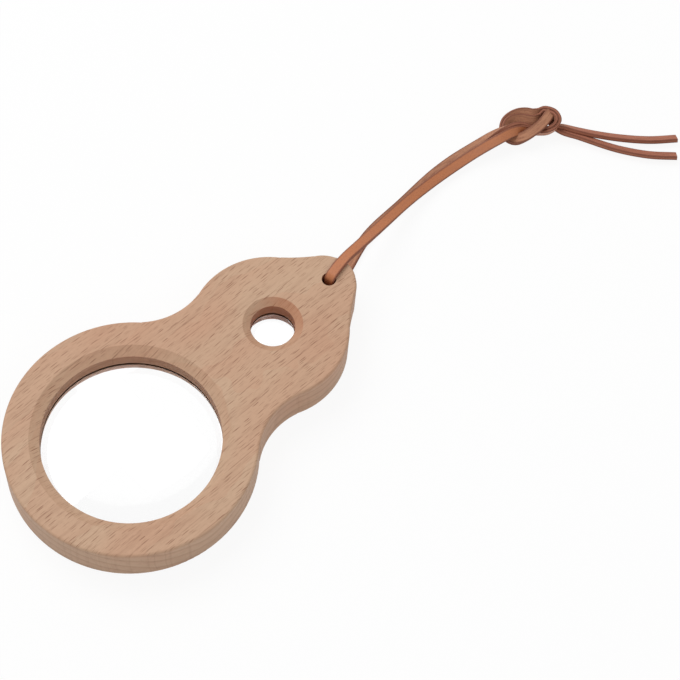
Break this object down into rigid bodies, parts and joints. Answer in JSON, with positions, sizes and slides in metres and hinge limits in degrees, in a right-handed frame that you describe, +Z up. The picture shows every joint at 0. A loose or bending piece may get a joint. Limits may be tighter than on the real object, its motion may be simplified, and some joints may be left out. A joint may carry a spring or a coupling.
{
  "type": "wooden magnifying glass",
  "caption": "Flat beech hand magnifier with a large and a small inset lens, a tapered nose and a flat leather lace knotted through it.",
  "frame": {"origin": "centre of the board's underside, at the middle of the board's length", "axes": "+Z up out of the front face, +X along the board from the large head to the nose with the lace hole"},
  "size_m": [0.2714, 0.0841, 0.0174],
  "materials": {
    "beech": "oiled, fine grain along X",
    "ring_wood": "oiled",
    "lens": "polished, clear",
    "leather": "smooth on one face, rough on the other"
  },
  "bodies": {
    "root": {"board": "beech", "large_lens": "lens", "large_lens_ring": "ring_wood", "small_lens": "lens", "small_lens_ring": "ring_wood", "lace_in_hole": "leather", "lace_upper_run": "leather", "lace_upper_tail": "leather", "lace_lower_run": "leather", "lace_lower_tail": "leather"}
  },
  "joints": []
}
